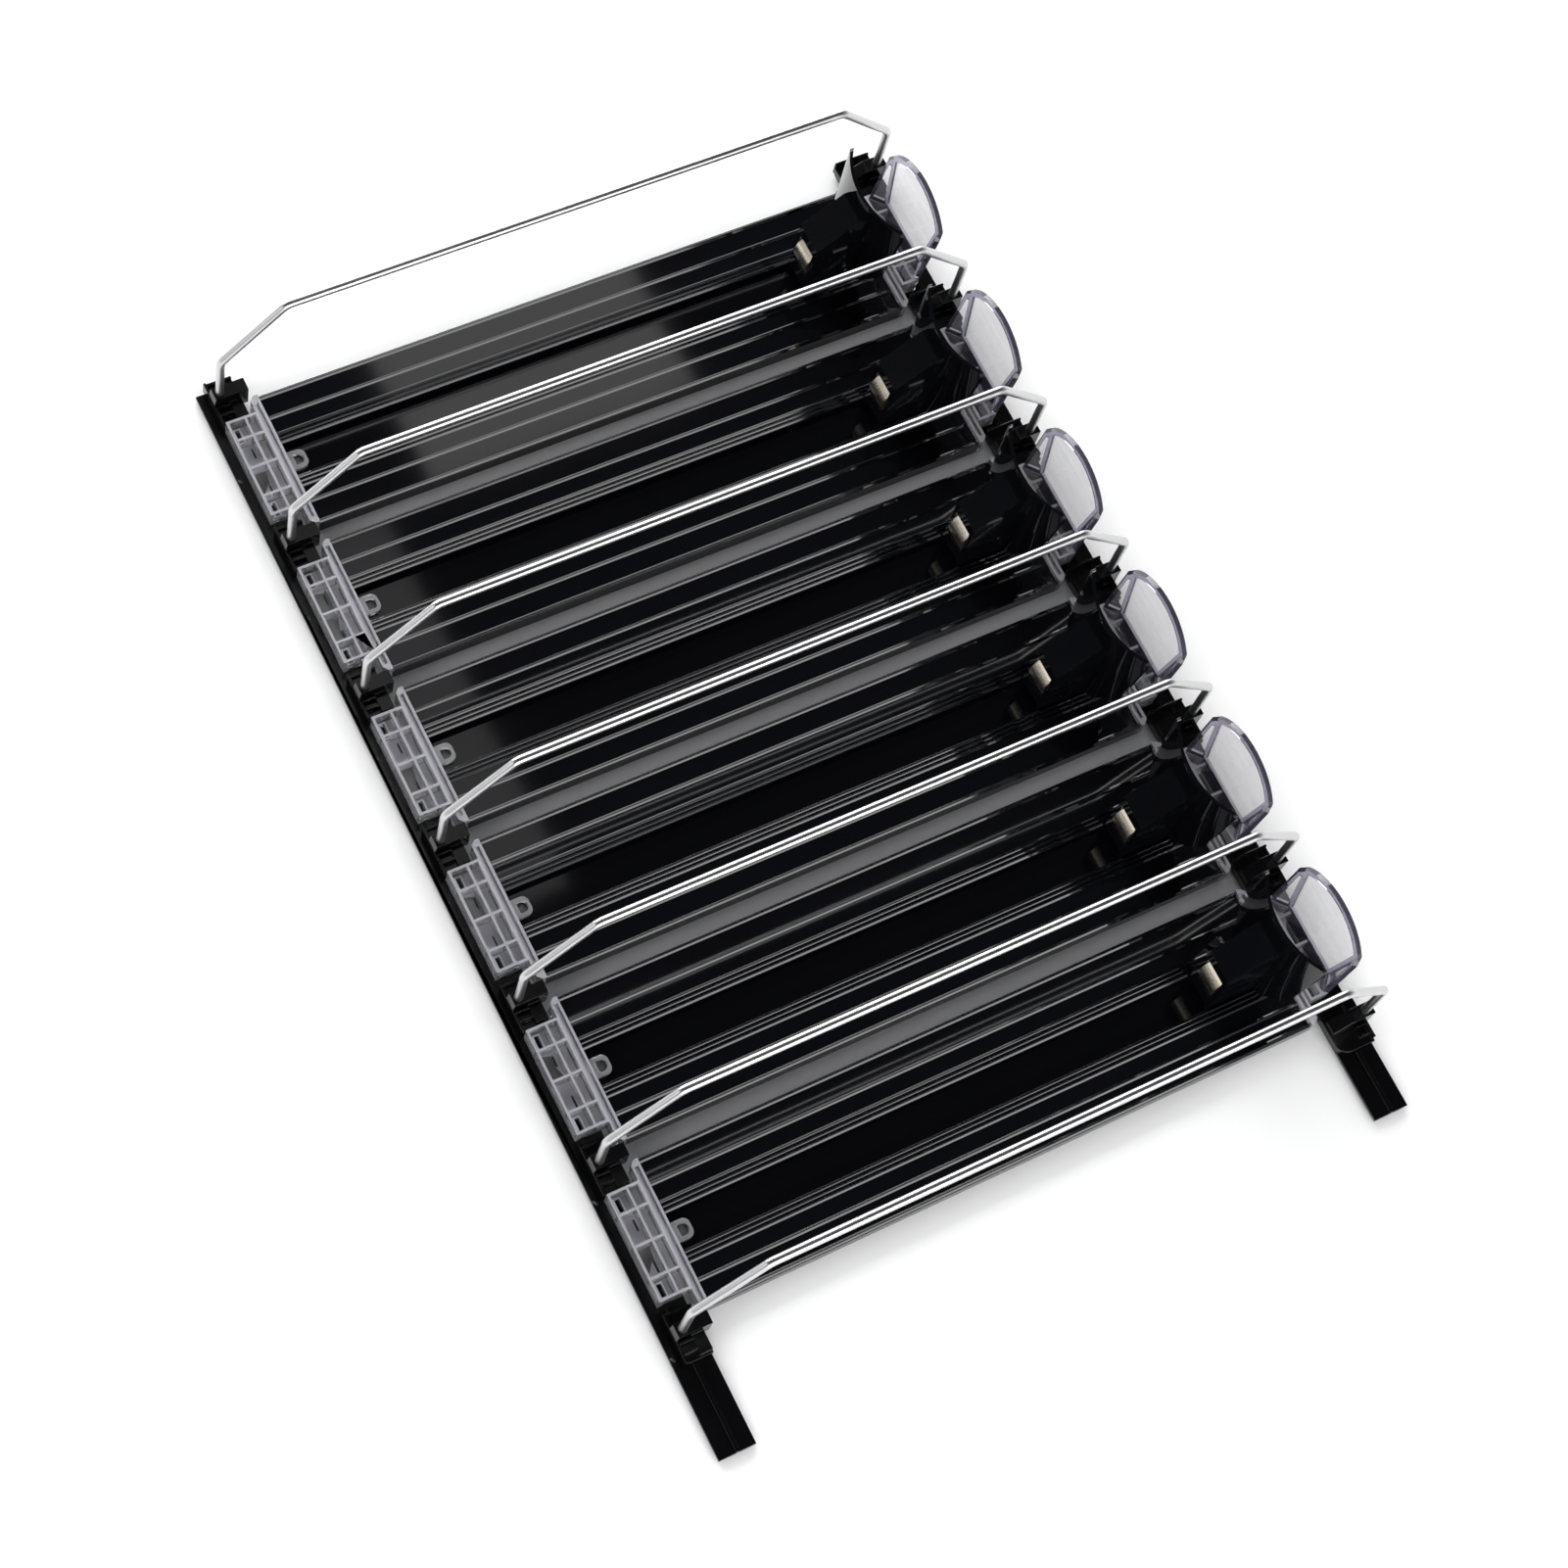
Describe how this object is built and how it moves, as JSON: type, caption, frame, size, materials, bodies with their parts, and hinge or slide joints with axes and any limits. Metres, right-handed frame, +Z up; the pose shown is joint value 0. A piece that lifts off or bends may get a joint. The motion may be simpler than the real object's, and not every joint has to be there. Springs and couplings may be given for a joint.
{
  "type": "can organizer",
  "caption": "Adjustable fridge shelf organizer: ribbed lanes on two rails, wire dividers, clear front stops and spring pushers that feed cans forward.",
  "frame": {"origin": "centre of the footprint on the shelf", "axes": "+X along the rails, from the free rail ends to the closed end; +Y to the rear of the shelf, away from the front stops; +Z up"},
  "size_m": [0.5116, 0.3378, 0.0708],
  "materials": {
    "gloss_black_plastic": "polished black ABS",
    "black_plastic": "moulded black plastic, low gloss",
    "clear_plastic": "clear injection-moulded plastic",
    "polished_wire": "polished plated steel wire",
    "spring_steel": "rolled spring strip"
  },
  "bodies": {
    "rails": {"rear_rail": "black_plastic", "front_rail": "black_plastic"},
    "divider_7": {"divider_wire_7": "polished_wire", "rear_clip_7": "black_plastic", "front_clip_7": "black_plastic"},
    "lane_6": {"track_6": "gloss_black_plastic", "rear_connector_6": "clear_plastic", "front_stop_6": "clear_plastic"},
    "pusher_6": {"pusher_6": "gloss_black_plastic", "spring_6": "spring_steel"},
    "divider_6": {"divider_wire_6": "polished_wire", "rear_clip_6": "black_plastic", "front_clip_6": "black_plastic"},
    "lane_5": {"track_5": "gloss_black_plastic", "rear_connector_5": "clear_plastic", "front_stop_5": "clear_plastic"},
    "pusher_5": {"pusher_5": "gloss_black_plastic", "spring_5": "spring_steel"},
    "divider_5": {"divider_wire_5": "polished_wire", "rear_clip_5": "black_plastic", "front_clip_5": "black_plastic"},
    "lane_4": {"track_4": "gloss_black_plastic", "rear_connector_4": "clear_plastic", "front_stop_4": "clear_plastic"},
    "pusher_4": {"pusher_4": "gloss_black_plastic", "spring_4": "spring_steel"},
    "divider_4": {"divider_wire_4": "polished_wire", "rear_clip_4": "black_plastic", "front_clip_4": "black_plastic"},
    "lane_3": {"track_3": "gloss_black_plastic", "rear_connector_3": "clear_plastic", "front_stop_3": "clear_plastic"},
    "pusher_3": {"pusher_3": "gloss_black_plastic", "spring_3": "spring_steel"},
    "divider_3": {"divider_wire_3": "polished_wire", "rear_clip_3": "black_plastic", "front_clip_3": "black_plastic"},
    "lane_2": {"track_2": "gloss_black_plastic", "rear_connector_2": "clear_plastic", "front_stop_2": "clear_plastic"},
    "pusher_2": {"pusher_2": "gloss_black_plastic", "spring_2": "spring_steel"},
    "divider_2": {"divider_wire_2": "polished_wire", "rear_clip_2": "black_plastic", "front_clip_2": "black_plastic"},
    "lane_1": {"track_1": "gloss_black_plastic", "rear_connector_1": "clear_plastic", "front_stop_1": "clear_plastic"},
    "pusher_1": {"pusher_1": "gloss_black_plastic", "spring_1": "spring_steel"},
    "divider_1": {"divider_wire_1": "polished_wire", "rear_clip_1": "black_plastic", "front_clip_1": "black_plastic"}
  },
  "joints": [
    {"name": "divider_7_slide", "type": "slide", "parent": "rails", "child": "divider_7", "axis": [1, 0, 0], "range_m": [-0.00225, 0]},
    {"name": "lane_6_slide", "type": "slide", "parent": "divider_7", "child": "lane_6", "axis": [1, 0, 0], "range_m": [-0.00225, 0]},
    {"name": "divider_6_slide", "type": "slide", "parent": "lane_6", "child": "divider_6", "axis": [1, 0, 0], "range_m": [-0.00225, 0]},
    {"name": "lane_5_slide", "type": "slide", "parent": "divider_6", "child": "lane_5", "axis": [1, 0, 0], "range_m": [-0.00225, 0]},
    {"name": "divider_5_slide", "type": "slide", "parent": "lane_5", "child": "divider_5", "axis": [1, 0, 0], "range_m": [-0.00225, 0]},
    {"name": "lane_4_slide", "type": "slide", "parent": "divider_5", "child": "lane_4", "axis": [1, 0, 0], "range_m": [-0.00225, 0]},
    {"name": "divider_4_slide", "type": "slide", "parent": "lane_4", "child": "divider_4", "axis": [1, 0, 0], "range_m": [-0.00225, 0]},
    {"name": "lane_3_slide", "type": "slide", "parent": "divider_4", "child": "lane_3", "axis": [1, 0, 0], "range_m": [-0.00225, 0]},
    {"name": "divider_3_slide", "type": "slide", "parent": "lane_3", "child": "divider_3", "axis": [1, 0, 0], "range_m": [-0.00225, 0]},
    {"name": "lane_2_slide", "type": "slide", "parent": "divider_3", "child": "lane_2", "axis": [1, 0, 0], "range_m": [-0.00225, 0]},
    {"name": "divider_2_slide", "type": "slide", "parent": "lane_2", "child": "divider_2", "axis": [1, 0, 0], "range_m": [-0.00225, 0]},
    {"name": "lane_1_slide", "type": "slide", "parent": "divider_2", "child": "lane_1", "axis": [1, 0, 0], "range_m": [-0.00225, 0]},
    {"name": "divider_1_slide", "type": "slide", "parent": "lane_1", "child": "divider_1", "axis": [1, 0, 0], "range_m": [-0.00225, 0]},
    {"name": "pusher_1_slide", "type": "slide", "parent": "lane_1", "child": "pusher_1", "axis": [0, 1, 0], "range_m": [0, 0.236], "stiffness_N_per_m": 4, "springref_m": -0.5, "deforming": ["spring_1"]},
    {"name": "pusher_2_slide", "type": "slide", "parent": "lane_2", "child": "pusher_2", "axis": [0, 1, 0], "range_m": [0, 0.236], "stiffness_N_per_m": 4, "springref_m": -0.5, "deforming": ["spring_2"]},
    {"name": "pusher_3_slide", "type": "slide", "parent": "lane_3", "child": "pusher_3", "axis": [0, 1, 0], "range_m": [0, 0.236], "stiffness_N_per_m": 4, "springref_m": -0.5, "deforming": ["spring_3"]},
    {"name": "pusher_4_slide", "type": "slide", "parent": "lane_4", "child": "pusher_4", "axis": [0, 1, 0], "range_m": [0, 0.236], "stiffness_N_per_m": 4, "springref_m": -0.5, "deforming": ["spring_4"]},
    {"name": "pusher_5_slide", "type": "slide", "parent": "lane_5", "child": "pusher_5", "axis": [0, 1, 0], "range_m": [0, 0.236], "stiffness_N_per_m": 4, "springref_m": -0.5, "deforming": ["spring_5"]},
    {"name": "pusher_6_slide", "type": "slide", "parent": "lane_6", "child": "pusher_6", "axis": [0, 1, 0], "range_m": [0, 0.236], "stiffness_N_per_m": 4, "springref_m": -0.5, "deforming": ["spring_6"]}
  ]
}
